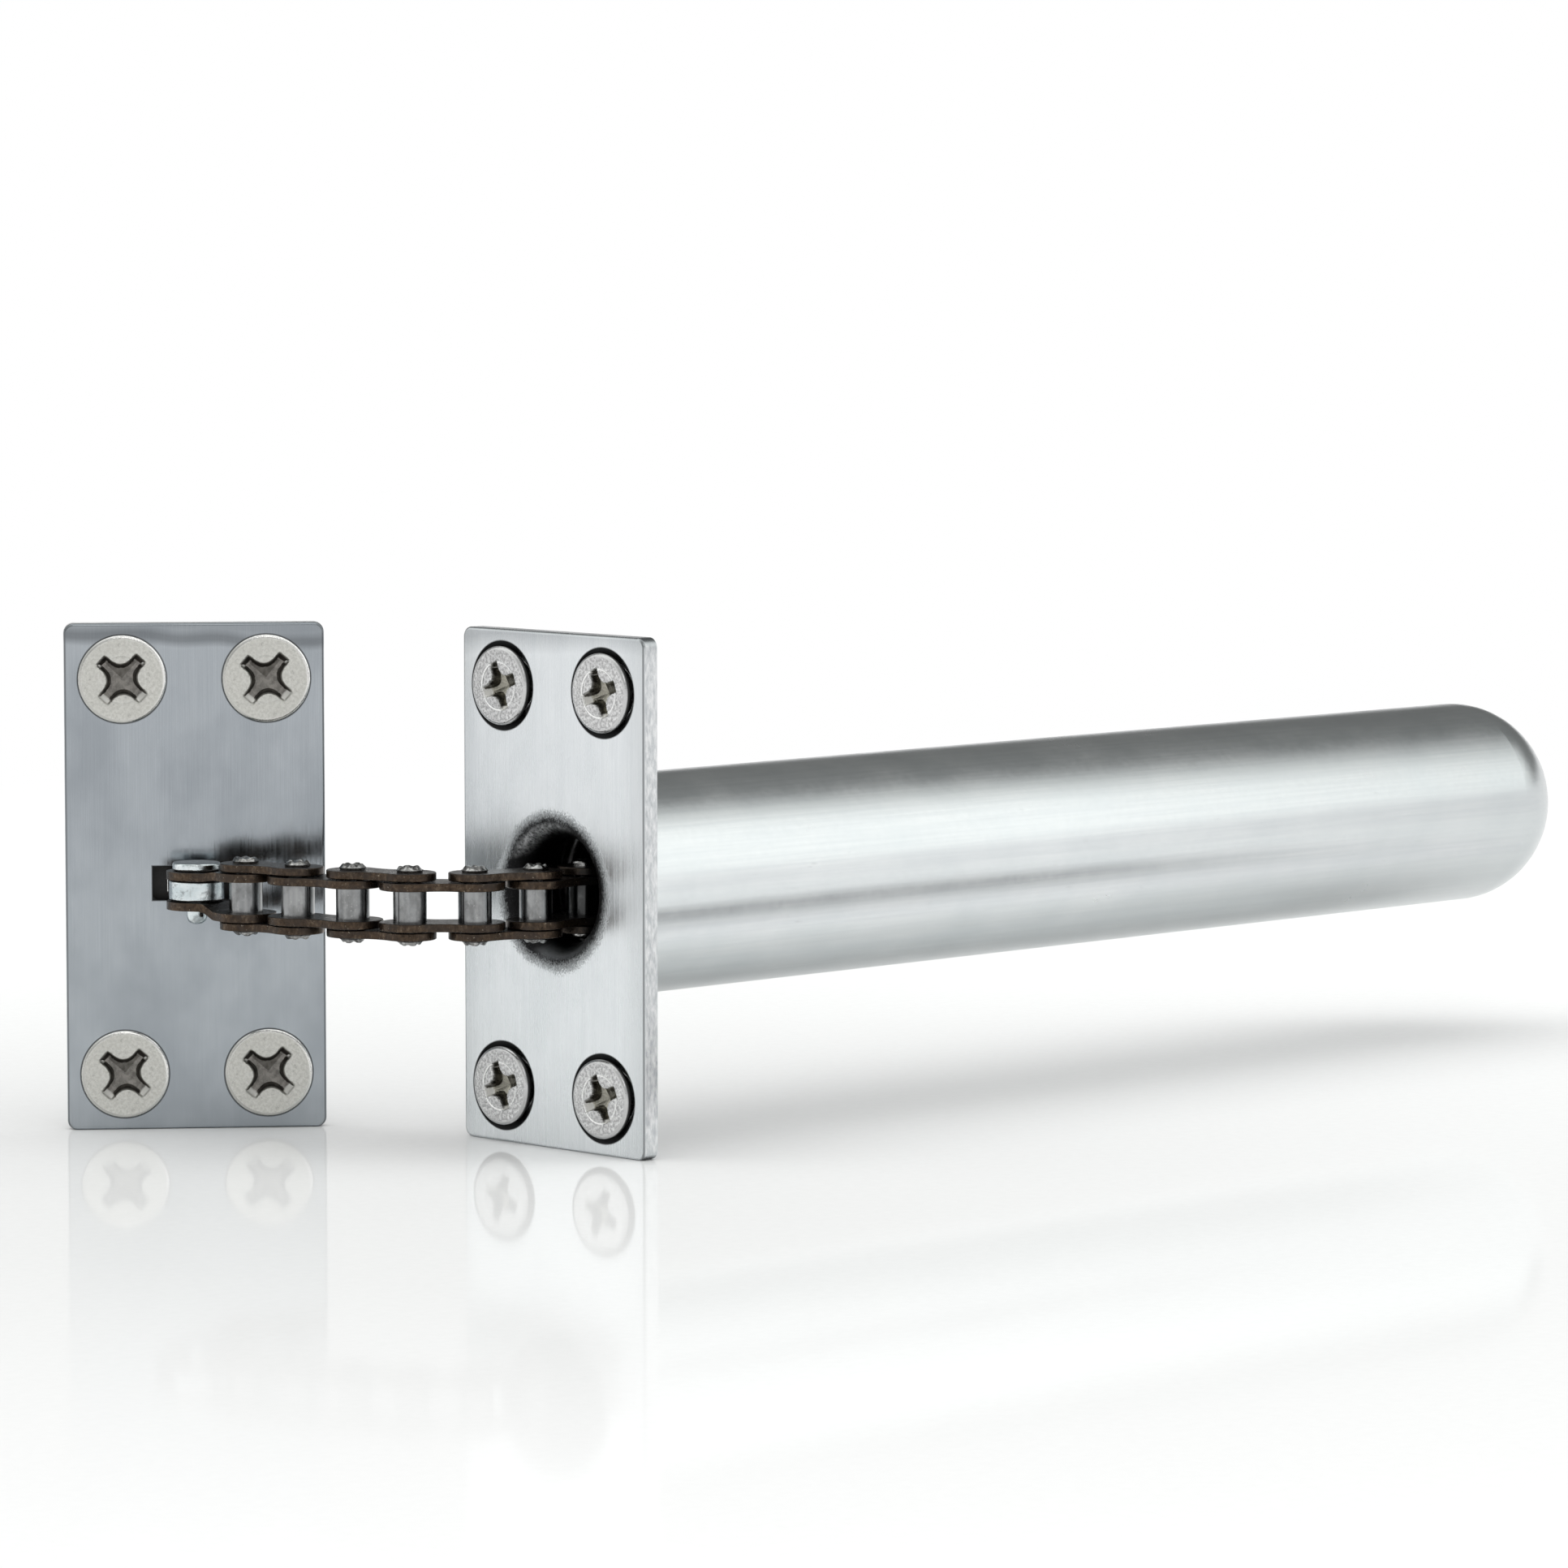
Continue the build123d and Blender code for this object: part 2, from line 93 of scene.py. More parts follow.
# ---- the two kinds of screw: radius of the head, size of the cross, height above the plate ----
FOREND_HEAD = 3.92 * MM
FOREND_CROSS = 1.0
FOREND_PROUD = 0.58 * MM
ANCHOR_HEAD = 4.42 * MM
ANCHOR_CROSS = 1.2
ANCHOR_PROUD = 0.32 * MM


# ---- node-building helpers ----


class Nodes:
    """A node tree under construction: short calls that add nodes and link them."""

    def __init__(self, tree):
        self.tree = tree

    def add(self, kind, **settings):
        node = self.tree.nodes.new(kind)
        for key, value in settings.items():
            setattr(node, key, value)
        return node

    def join(self, source, target):
        self.tree.links.new(source, target)

    def feed(self, socket, value):
        if hasattr(value, "is_output"):
            self.join(value, socket)
        else:
            socket.default_value = value

    def math(self, operation, a, b=0.0):
        node = self.add("ShaderNodeMath", operation=operation)
        self.feed(node.inputs[0], a)
        self.feed(node.inputs[1], b)
        return node.outputs[0]

    def plus(self, a, b):
        return self.math("ADD", a, b)

    def minus(self, a, b):
        return self.math("SUBTRACT", a, b)

    def times(self, a, b):
        return self.math("MULTIPLY", a, b)

    def larger(self, a, b):
        return self.math("MAXIMUM", a, b)

    def smaller(self, a, b):
        return self.math("MINIMUM", a, b)

    def absolute(self, a):
        return self.math("ABSOLUTE", a)

    def distance(self, a, b):
        """How far the point (a, b) is from the origin."""
        return self.math("SQRT", self.plus(self.times(a, a), self.times(b, b)))

    def dot(self, vector, direction):
        """How far a vector reaches along a direction."""
        node = self.add("ShaderNodeVectorMath", operation="DOT_PRODUCT")
        self.join(vector, node.inputs[0])
        node.inputs[1].default_value = direction
        return node.outputs["Value"]

    def remap(self, value, low, high, to_low, to_high):
        """Goes from one value to another while the input goes from low to high, and stops there."""
        node = self.add("ShaderNodeMapRange")
        self.feed(node.inputs["Value"], value)
        node.inputs["From Min"].default_value = low
        node.inputs["From Max"].default_value = high
        node.inputs["To Min"].default_value = to_low
        node.inputs["To Max"].default_value = to_high
        return node.outputs["Result"]

    def ramp(self, value, stops):
        """A colour for each value, from stops given as (value, colour)."""
        node = self.add("ShaderNodeValToRGB")
        elements = node.color_ramp.elements
        while len(elements) < len(stops):
            elements.new(0.5)
        for element, (place, colour) in zip(elements, stops):
            element.position = place
            element.color = (*colour, 1)
        self.feed(node.inputs["Fac"], value)
        return node.outputs["Color"]

    def mix(self, factor, a, b):
        """Passes from the first colour to the second as the factor goes from 0 to 1."""
        node = self.add("ShaderNodeMix", data_type="RGBA")
        self.feed(node.inputs[0], factor)
        self.feed(node.inputs[6], a if hasattr(a, "is_output") else (*a, 1))
        self.feed(node.inputs[7], b if hasattr(b, "is_output") else (*b, 1))
        return node.outputs[2]

    def split(self, vector):
        node = self.add("ShaderNodeSeparateXYZ")
        self.join(vector, node.inputs[0])
        return node.outputs


class Shader(Nodes):
    """A material under construction."""

    def __init__(self, name):
        self.material = bpy.data.materials.new(name)
        self.material.use_nodes = True
        super().__init__(self.material.node_tree)
        self.bsdf = self.tree.nodes["Principled BSDF"]

    def coords(self, scale=(1, 1, 1), turn=0.0, move=(0, 0, 0)):
        """Object coordinates, turned about Z and stretched, for textures that follow the piece."""
        source = self.add("ShaderNodeTexCoord").outputs["Object"]
        if turn or any(move):
            place = self.add("ShaderNodeMapping", vector_type="TEXTURE")
            place.inputs["Location"].default_value = move
            place.inputs["Rotation"].default_value = (0, 0, turn)
            self.join(source, place.inputs["Vector"])
            source = place.outputs[0]
        stretch = self.add("ShaderNodeMapping")
        stretch.inputs["Scale"].default_value = scale
        self.join(source, stretch.inputs["Vector"])
        return stretch.outputs[0]

    def noise(self, cells, detail, roughness, turn=0.0, move=(0, 0, 0)):
        """Noise fixed to the piece, with so many cells to a metre along x, y and z."""
        node = self.add("ShaderNodeTexNoise")
        node.inputs["Scale"].default_value = 1.0
        node.inputs["Detail"].default_value = detail
        node.inputs["Roughness"].default_value = roughness
        self.join(self.coords(cells, turn, move), node.inputs["Vector"])
        return node.outputs["Fac"]

    def normal(self):
        """The three parts of the surface's normal, in the piece's own axes."""
        return self.split(self.add("ShaderNodeTexCoord").outputs["Normal"])

    def emission(self, strength):
        """White light of a strength."""
        light = self.add("ShaderNodeEmission")
        self.feed(light.inputs["Strength"], strength)
        return light.outputs[0]

    def blend(self, factor, first, second):
        """Passes from the first surface to the second as the factor goes from 0 to 1."""
        node = self.add("ShaderNodeMixShader")
        self.join(factor, node.inputs[0])
        self.join(first, node.inputs[1])
        self.join(second, node.inputs[2])
        return node.outputs[0]

    def surface(self, shader):
        """Puts another surface in the Principled shader's place."""
        self.join(shader, self.tree.nodes["Material Output"].inputs["Surface"])
        return self.material

    def finish(self, colour, roughness, metallic, bumps):
        """Connects colour and roughness, and chains bumps given as (height, distance in metres)."""
        self.join(colour, self.bsdf.inputs["Base Color"])
        self.feed(self.bsdf.inputs["Roughness"], roughness)
        self.feed(self.bsdf.inputs["Metallic"], metallic)
        normal = None
        for height, distance in bumps:
            bump = self.add("ShaderNodeBump")
            bump.inputs["Distance"].default_value = distance
            self.join(height, bump.inputs["Height"])
            if normal is not None:
                self.join(normal, bump.inputs["Normal"])
            normal = bump.outputs[0]
        if normal is not None:
            self.join(normal, self.bsdf.inputs["Normal"])
        return self.material


# ---- materials ----


def plate_edges(s, colour, sideways):
    """Painted shade on the rolled edge of a plate's front, a brighter sheared side, and painted shade along
    the top.
    """
    grain = s.noise((2600, 2600, 900), 3.0, 0.6)
    side = s.absolute(sideways)
    painted_roll_shade = s.times(s.remap(side, 0.15, 0.45, 0.0, 1.0), s.remap(side, 0.7, 0.9, 1.0, 0.0))
    # painted shade: a dark line on the rolled edge of the front
    colour = s.mix(s.times(painted_roll_shade, 0.9), colour, (0.13, 0.135, 0.14))
    sheared = s.mix(s.remap(grain, 0.35, 0.65, 0.0, 1.0), (0.52, 0.54, 0.56), (0.97, 0.97, 0.97))
    colour = s.mix(s.remap(side, 0.85, 0.98, 0.0, 0.8), colour, sheared)
    # painted shade: a darker band with a wavy lower edge along the top of the front
    z = s.split(s.coords())[2]
    band = s.noise((60, 60, 25), 2.0, 0.5)
    high = s.plus(z, s.remap(band, 0.3, 0.7, -0.9 * MM, 0.9 * MM))
    shade = s.remap(high, PLATE_TOP - 2.2 * MM, PLATE_TOP - 0.4 * MM, 0.0, 0.45)
    return s.mix(shade, colour, (0.20, 0.215, 0.23))


def countersink_shade(s, deep, across, height):
    """How far a point is in a countersink round a screw head, from 0 to 1, but not on the plate's back: the
    mask of the painted shade there.
    """
    off_y = s.minus(s.absolute(across), SCREW_Y)
    off_z = s.minus(s.absolute(height), SCREW_Z)
    edge = COUNTERSINK_RADIUS + 0.14 * MM
    gap = s.remap(s.distance(off_y, off_z), COUNTERSINK_RADIUS, edge, 0.96, 0.0)
    return s.times(gap, s.remap(deep, -0.5 * MM, -0.2 * MM, 1.0, 0.0))


def slot_wall_shade(s, across, height):
    """How far a point is in the anchor's slot, from 0 to 1: the mask of the painted shade on its walls."""
    off_y = s.minus(s.absolute(across), SLOT_HALF_LENGTH)
    off_z = s.minus(s.absolute(s.minus(height, SLOT_Z)), SLOT_HALF_HEIGHT)
    return s.remap(s.larger(off_y, off_z), 0.02 * MM, 0.15 * MM, 0.97, 0.0)


def anchor_patches(s, colour, height):
    """Broad dull patches, and a wavy band of painted shade along the top."""
    patch = s.noise((110, 110, 75), 3.0, 0.55)
    colour = s.mix(s.remap(patch, 0.42, 0.62, 0.0, 0.5), colour, (0.25, 0.275, 0.30))
    # painted shade: a wavy dark band just under the top edge
    wave = s.noise((85, 85, 30), 1.0, 0.5)
    high = s.plus(height, s.remap(wave, 0.3, 0.7, -0.7 * MM, 0.7 * MM))
    band = s.absolute(s.minus(high, PLATE_TOP - 1.3 * MM))
    return s.mix(s.remap(band, 0.2 * MM, 0.9 * MM, 0.6, 0.0), colour, (0.12, 0.13, 0.14))


def brushed_plate(name, pale, dark, roughness, turn=0.0, move=(0, 0, 0), mouth=False):
    """Satin steel brushed up its length, with the forend's mouth or else the anchor's slot in it."""
    s = Shader(name)
    fine = s.noise((9000, 9000, 130), 3.0, 0.6, turn, move)
    broad = s.noise((1400, 1400, 45), 2.0, 0.5, turn, move)
    cloud = s.noise((90, 90, 60), 3.0, 0.5, turn, move)
    smudge = s.noise((230, 230, 160), 4.0, 0.6, turn, move)
    streaks = s.mix(s.remap(fine, 0.3, 0.7, 0.0, 1.0), dark, pale)
    colour = s.mix(s.remap(broad, 0.35, 0.65, 0.0, 0.5 if mouth else 0.25), streaks, pale)
    colour = s.mix(s.remap(cloud, 0.3, 0.7, 0.0, 0.30), colour, dark)
    colour = s.mix(s.remap(smudge, 0.35, 0.7, 0.0, 0.35), colour, dark)
    rough = s.remap(smudge, 0.35, 0.65, roughness, roughness + 0.05)
    rough = s.plus(s.remap(fine, 0.3, 0.7, -0.04, 0.05), rough)
    bumps = [(fine, 0.005 * MM), (broad, 0.007 * MM)]
    normal_x, normal_y = s.normal()[:2]
    sideways = s.plus(s.times(normal_x, -math.sin(turn)), s.times(normal_y, math.cos(turn)))
    colour = plate_edges(s, colour, sideways)
    x, y, z = s.split(s.coords(turn=turn, move=move))
    painted_hollow_shade = countersink_shade(s, x, y, z)
    if not mouth:
        colour = anchor_patches(s, colour, z)
        painted_hollow_shade = s.larger(painted_hollow_shade, slot_wall_shade(s, y, z))
    # painted shade: near black, not metal, with little specular, in the countersinks and the anchor's slot
    colour = s.mix(painted_hollow_shade, colour, (0.010, 0.010, 0.010))
    metal = s.minus(1.0, painted_hollow_shade)
    s.join(s.times(metal, 0.5), s.bsdf.inputs["Specular IOR Level"])
    if mouth:
        # painted shade: the forend's front darker towards both long sides, more towards negative y
        colour = s.mix(s.remap(y, -12.8 * MM, -9.5 * MM, 0.30, 0.0), colour, (0.40, 0.42, 0.43))
        colour = s.mix(s.remap(y, 10.5 * MM, 12.8 * MM, 0.0, 0.18), colour, (0.40, 0.42, 0.43))
        colour, rough, scratches = shade_mouth(s, colour, rough, y, z)
        bumps.append(scratches)
    return s.finish(colour, rough, metal, bumps)


def shade_mouth(s, colour, rough, y, z):
    """The drawn lip: painted shade going dark into the mouth, a scratched painted highlight high on one
    side, a fainter painted highlight below.

    Gives the colour, the roughness and one more bump.
    """
    radius = s.distance(y, z)
    dust = s.noise((6500, 6500, 6500), 3.0, 0.7)
    waver = s.noise((260, 260, 260), 2.0, 0.5)
    edge = s.plus(radius, s.remap(dust, 0.25, 0.75, -0.55 * MM, 0.55 * MM))
    edge = s.plus(edge, s.remap(waver, 0.3, 0.7, -0.22 * MM, 0.22 * MM))
    # painted shade going dark into the mouth, its edge wavered by noise
    inner_shade = s.remap(edge, 6.9 * MM, 8.1 * MM, 1.0, 0.0)
    scratch = s.noise((1200, 2600, 2600), 5.0, 0.8)
    lip = s.remap(radius, 5.3 * MM, 5.8 * MM, 0.0, 1.0)
    lip = s.times(lip, s.remap(radius, 6.4 * MM, 6.9 * MM, 1.0, 0.0))
    # painted highlight high on the lip, scratched, and a fainter painted highlight low on it
    slant = s.plus(s.times(y, 0.34), s.times(z, 0.94))
    high = s.times(lip, s.remap(slant, 4.5 * MM, 5.8 * MM, 0.0, 1.0))
    high = s.times(high, s.remap(scratch, 0.40, 0.58, 0.12, 1.0))
    low = s.times(lip, s.remap(slant, -6.2 * MM, -4.4 * MM, 0.55, 0.0))
    # the painted shade's colour, lightened in places by dust
    dark = s.mix(s.remap(dust, 0.6, 0.8, 0.0, 0.4), (0.022, 0.022, 0.023), (0.22, 0.22, 0.22))
    dark = s.mix(high, dark, (0.62, 0.63, 0.64))
    dark = s.mix(low, dark, (0.50, 0.52, 0.54))
    colour = s.mix(inner_shade, colour, dark)
    rough = s.plus(rough, s.remap(inner_shade, 0.0, 1.0, 0.0, 0.06))
    return colour, rough, (s.times(scratch, inner_shade), 0.09 * MM)


def zinc_tube():
    """Satin zinc plate with faint drawing lines along the tube, a soft mottle, and painted shade towards
    the far end.
    """
    s = Shader("zinc_tube")
    lines = s.noise((40, 2600, 2600), 2.0, 0.5)
    mottle = s.noise((120, 160, 160), 4.0, 0.55)
    speck = s.noise((1500, 1500, 1500), 2.0, 0.5)
    scuff = s.noise((420, 1500, 1500), 5.0, 0.7)
    colour = s.mix(s.remap(mottle, 0.3, 0.7, 0.0, 1.0), (0.70, 0.735, 0.745), (0.78, 0.805, 0.81))
    colour = s.mix(s.remap(lines, 0.35, 0.65, 0.0, 0.30), colour, (0.63, 0.665, 0.685))
    colour = s.mix(s.remap(scuff, 0.64, 0.78, 0.0, 0.35), colour, (0.50, 0.52, 0.53))
    # painted shade: the tube darker towards its far end
    along = s.split(s.coords())[0]
    colour = s.mix(s.remap(along, 60 * MM, 145 * MM, 0.0, 0.32), colour, (0.36, 0.38, 0.385))
    rough = s.plus(s.remap(mottle, 0.3, 0.7, 0.20, 0.26), s.remap(speck, 0.3, 0.7, -0.02, 0.02))
    return s.finish(colour, rough, 1.0, [(lines, 0.003 * MM), (speck, 0.003 * MM)])


def shade_in_mouth(s, colour):
    """Painted shade, near black, on the part of the chain that runs into the mouth, darker deeper in."""
    film = s.noise((700, 700, 700), 3.0, 0.6)
    deep = s.plus(s.split(s.coords())[0], s.remap(film, 0.3, 0.7, -0.8 * MM, 0.8 * MM))
    return s.mix(s.remap(deep, -2.2 * MM, 0.8 * MM, 0.0, 0.86), colour, (0.012, 0.012, 0.012))


def chain_oxide():
    """Dark oxide on the faces, browner and streaked where the plates were sheared."""
    s = Shader("chain_oxide")
    upright = s.absolute(s.normal()[2])
    grain = s.noise((1500, 1500, 1500), 5.0, 0.65)
    shear = s.noise((2200, 2200, 1500), 5.0, 0.7)
    patch = s.noise((500, 500, 900), 3.0, 0.6)
    nick = s.noise((4200, 4200, 4200), 3.0, 0.6)
    face_stops = [(0.3, (0.020, 0.017, 0.016)), (0.62, (0.055, 0.047, 0.044)), (0.8, (0.14, 0.12, 0.11))]
    edge_stops = [(0.3, (0.022, 0.015, 0.010)), (0.55, (0.072, 0.049, 0.033)), (0.78, (0.20, 0.155, 0.11))]
    face = s.ramp(grain, face_stops)
    edge = s.ramp(shear, edge_stops)
    edge = s.mix(s.remap(patch, 0.42, 0.62, 0.0, 0.65), edge, (0.040, 0.032, 0.028))
    edge = s.mix(s.remap(nick, 0.66, 0.76, 0.0, 0.8), edge, (0.50, 0.44, 0.36))
    colour = s.mix(s.remap(upright, 0.55, 0.9, 0.0, 1.0), edge, face)
    rough = s.remap(grain, 0.3, 0.7, 0.22, 0.40)
    return s.finish(shade_in_mouth(s, colour), rough, 0.85, [(shear, 0.03 * MM), (grain, 0.01 * MM)])


def bush_steel():
    """Drawn grey steel, smooth round its height with a few faint lines and oil stains."""
    s = Shader("bush_steel")
    lines = s.noise((1500, 1500, 60), 2.0, 0.5)
    cloud = s.noise((700, 700, 500), 4.0, 0.6)
    speck = s.noise((4200, 4200, 4200), 2.0, 0.5)
    colour = s.mix(s.remap(lines, 0.3, 0.7, 0.0, 1.0), (0.22, 0.225, 0.23), (0.34, 0.345, 0.345))
    colour = s.mix(s.remap(cloud, 0.45, 0.75, 0.0, 0.7), colour, (0.07, 0.068, 0.066))
    colour = s.mix(s.remap(speck, 0.66, 0.76, 0.0, 0.5), colour, (0.62, 0.62, 0.60))
    return s.finish(shade_in_mouth(s, colour), s.remap(cloud, 0.3, 0.7, 0.14, 0.24), 1.0, [(lines, 0.004 * MM)])


def pin_steel():
    """Hard bright steel, dented where the end was riveted."""
    s = Shader("pin_steel")
    grain = s.noise((2500, 2500, 2500), 4.0, 0.6)
    soot = s.noise((1100, 1100, 1100), 3.0, 0.6)
    colour = s.mix(s.remap(grain, 0.35, 0.7, 0.0, 1.0), (0.22, 0.215, 0.21), (0.62, 0.62, 0.61))
    colour = s.mix(s.remap(soot, 0.45, 0.62, 0.0, 0.85), colour, (0.045, 0.042, 0.04))
    return s.finish(colour, 0.16, 1.0, [(grain, 0.05 * MM)])


def bright_zinc():
    """Bright zinc plate, cloudy and worn dull in places; flat tops get a bluer, darker painted shade."""
    s = Shader("bright_zinc")
    upright = s.normal()[2]
    cloud = s.noise((420, 420, 420), 4.0, 0.6)
    wear = s.noise((1800, 1800, 1800), 5.0, 0.7)
    blot = s.noise((800, 800, 1100), 4.0, 0.7)
    colour = s.mix(s.remap(cloud, 0.35, 0.65, 0.0, 1.0), (0.55, 0.62, 0.64), (0.80, 0.84, 0.85))
    colour = s.mix(s.remap(wear, 0.56, 0.72, 0.0, 0.55), colour, (0.30, 0.30, 0.29))
    colour = s.mix(s.remap(blot, 0.50, 0.60, 0.0, 0.55), colour, (0.16, 0.165, 0.17))
    # painted shade: flat tops that face up are bluer and darker
    top = s.mix(s.remap(cloud, 0.3, 0.7, 0.0, 1.0), (0.17, 0.20, 0.215), (0.26, 0.295, 0.31))
    colour = s.mix(s.remap(upright, 0.85, 0.97, 0.0, 1.0), colour, top)
    rough = s.remap(cloud, 0.3, 0.7, 0.14, 0.26)
    return s.finish(colour, rough, 1.0, [(wear, 0.03 * MM), (cloud, 0.02 * MM)])


def dimmed(colour, share):
    return tuple(share * part for part in colour)


def screw_nickel(name, pale, dull, hollow, roughness, ring_light, head, cross, lit):
    """Grainy nickel plate with a painted highlight on a ring mark, and a polished rim with a painted
    highlight on the side turned to LIT.

    The cross recess has painted shade on its walls and painted highlights at its lower ends, and the head's
    side and the gap under it are painted black as shade.
    """
    s = Shader(name)
    grain = s.noise((3500, 3500, 3500), 4.0, 0.65)
    cloud = s.noise((450, 450, 450), 3.0, 0.5)
    fleck = s.noise((1500, 1500, 1500), 4.0, 0.7)
    x, y, z = s.split(s.coords())
    normal = s.add("ShaderNodeNewGeometry").outputs["Normal"]
    normal_z = s.split(normal)[2]
    reach = s.larger(s.absolute(x), s.absolute(y))
    aside = s.smaller(s.absolute(x), s.absolute(y))
    radius = s.distance(x, y)
    under = s.remap(z, -1.65 * MM, -1.55 * MM, 1.0, 0.0)
    in_recess = s.times(s.remap(z, -0.40 * MM, -0.08 * MM, 1.0, 0.0), s.minus(1.0, under))
    in_recess = s.times(in_recess, s.remap(radius, 2.8 * MM * cross, 3.0 * MM * cross, 1.0, 0.0))
    colour = s.mix(s.remap(grain, 0.42, 0.58, 0.0, 1.0), dull, pale)
    colour = s.mix(s.remap(cloud, 0.35, 0.7, 0.0, 0.4), colour, dull)
    colour = s.mix(s.remap(fleck, 0.58, 0.70, 0.0, 0.6), colour, dimmed(dull, 0.5))
    # painted highlight along the ring mark, its strength given by ring_light
    ring = s.remap(s.absolute(s.minus(radius, 2.38 * MM)), 0.0, 0.13 * MM, ring_light, 0.0)
    colour = s.mix(ring, colour, (0.97, 0.97, 0.96))
    # painted highlight on the side of the rim turned to LIT, painted shade on the other side
    side = s.dot(normal, lit)
    rim = s.remap(radius, head - 0.42 * MM, head - 0.30 * MM, 0.0, 1.0)
    rim_light_and_shade = s.mix(s.remap(side, -0.1, 0.35, 0.0, 1.0), dimmed(pale, 0.75), (0.96, 0.95, 0.93))
    colour = s.mix(rim, colour, rim_light_and_shade)
    # painted shade: near black, not metal, on the side of the head and under it
    flank_shade = s.larger(s.remap(radius, 2.6 * MM * cross, 2.7 * MM * cross, 0.0, 1.0), under)
    flank_shade = s.times(flank_shade, s.remap(z, -0.30 * MM, -0.15 * MM, 0.97, 0.0))
    flank_shade = s.times(flank_shade, s.remap(z, -3.2 * MM, -2.6 * MM, 0.0, 1.0))
    colour = s.mix(flank_shade, colour, (0.03, 0.03, 0.03))
    # painted shade: the recess in the darker hollow colour, near black on its walls and where it faces down
    inner = s.mix(s.remap(fleck, 0.38, 0.62, 0.0, 1.0), dimmed(hollow, 0.55), hollow)
    wall = s.times(s.remap(z, -0.85 * MM, -0.55 * MM, 0.0, 1.0), s.remap(fleck, 0.3, 0.6, 0.95, 0.7))
    wall = s.larger(wall, s.remap(normal_z, -0.45, -0.12, 0.9, 0.0))
    inner = s.mix(wall, inner, (0.05, 0.045, 0.038))
    # painted highlight on the lower ends of the cross's arms
    tip_highlight = s.remap(reach, 1.90 * MM * cross, 2.05 * MM * cross, 0.0, 1.0)
    tip_highlight = s.times(tip_highlight, s.remap(normal_z, 0.02, 0.25, 0.0, 1.0))
    tip_highlight = s.times(tip_highlight, s.remap(aside, 0.42 * MM * cross, 0.55 * MM * cross, 1.0, 0.0))
    inner = s.mix(tip_highlight, inner, (0.92, 0.91, 0.87))
    colour = s.mix(in_recess, colour, inner)
    rough = s.remap(grain, 0.3, 0.7, roughness - 0.05, roughness + 0.06)
    rough = s.minus(rough, s.remap(rim, 0.0, 1.0, 0.0, roughness - 0.14))
    s.join(s.remap(flank_shade, 0.0, 1.0, 0.5, 0.0), s.bsdf.inputs["Specular IOR Level"])
    matt = s.larger(flank_shade, s.times(tip_highlight, in_recess))
    metal = s.minus(1.0, matt)
    return s.finish(colour, rough, metal, [(grain, 0.03 * MM)])


def slot_backing_shade():
    """Near black for the plate behind the anchor's slot: painted shade inside the slot."""
    s = Shader("slot_backing_shade")
    film = s.noise((900, 900, 900), 4.0, 0.6)
    colour = s.mix(s.remap(film, 0.4, 0.75, 0.0, 1.0), (0.008, 0.008, 0.008), (0.035, 0.032, 0.030))
    return s.finish(colour, s.remap(film, 0.3, 0.7, 0.35, 0.55), 0.3, [(film, 0.01 * MM)])


def plain_steel():
    """Turned steel, lightly oiled, for what stays inside or behind."""
    s = Shader("plain_steel")
    turning = s.noise((5200, 900, 900), 3.0, 0.5)
    cloud = s.noise((300, 300, 300), 4.0, 0.6)
    colour = s.mix(s.remap(turning, 0.3, 0.7, 0.0, 1.0), (0.40, 0.40, 0.395), (0.56, 0.56, 0.55))
    colour = s.mix(s.remap(cloud, 0.45, 0.75, 0.0, 0.5), colour, (0.30, 0.28, 0.25))
    return s.finish(colour, s.remap(cloud, 0.3, 0.7, 0.28, 0.42), 1.0, [(turning, 0.01 * MM)])


def spring_steel():
    """Drawn wire, dark grey with a thin film of oil."""
    s = Shader("spring_steel")
    drawn = s.noise((900, 2400, 2400), 3.0, 0.6)
    oil = s.noise((260, 260, 260), 4.0, 0.6)
    colour = s.mix(s.remap(drawn, 0.3, 0.7, 0.0, 1.0), (0.14, 0.14, 0.145), (0.27, 0.27, 0.275))
    colour = s.mix(s.remap(oil, 0.5, 0.7, 0.0, 0.6), colour, (0.075, 0.068, 0.058))
    return s.finish(colour, s.remap(oil, 0.3, 0.7, 0.38, 0.22), 1.0, [(drawn, 0.015 * MM)])


def paint(node, material):
    """Gives a CAD node its one material."""
    mesh = NODES[node].data
    mesh.materials.clear()
    mesh.materials.append(material)


BRIGHT_NICKEL = screw_nickel(
    "bright_nickel",
    pale=(0.76, 0.76, 0.76),
    dull=(0.40, 0.40, 0.40),
    # the recess's colour, darker than the head: painted shade
    hollow=(0.40, 0.385, 0.33),
    roughness=0.24,
    ring_light=0.9,
    head=FOREND_HEAD,
    cross=FOREND_CROSS,
    lit=(1.0, 0.0, 0.6),
)
MATTE_NICKEL = screw_nickel(
    "matte_nickel",
    pale=(0.68, 0.675, 0.64),
    dull=(0.55, 0.545, 0.51),
    # the recess's colour, darker than the head: painted shade
    hollow=(0.29, 0.275, 0.255),
    roughness=0.42,
    ring_light=0.1,
    head=ANCHOR_HEAD,
    cross=ANCHOR_CROSS,
    lit=(0.5, -0.4, 0.6),
)

# The finish of each material slot of the record.
FINISHES = {
    "forend_steel": brushed_plate(
        "forend_steel",
        pale=(0.79, 0.815, 0.83),
        dark=(0.67, 0.70, 0.72),
        roughness=0.22,
        mouth=True,
    ),
    "anchor_steel": brushed_plate(
        "anchor_steel",
        pale=(0.415, 0.444, 0.470),
        dark=(0.345, 0.374, 0.400),
        roughness=0.13,
        turn=ANCHOR_TURN,
        move=tuple(ANCHOR_BACK),
    ),
    "zinc_tube": zinc_tube(),
    "chain_oxide": chain_oxide(),
    "chain_bush": bush_steel(),
    "chain_pin": pin_steel(),
    "bright_zinc": bright_zinc(),
    "screw_nickel": BRIGHT_NICKEL,
    "plain_steel": plain_steel(),
    "spring_steel": spring_steel(),
}
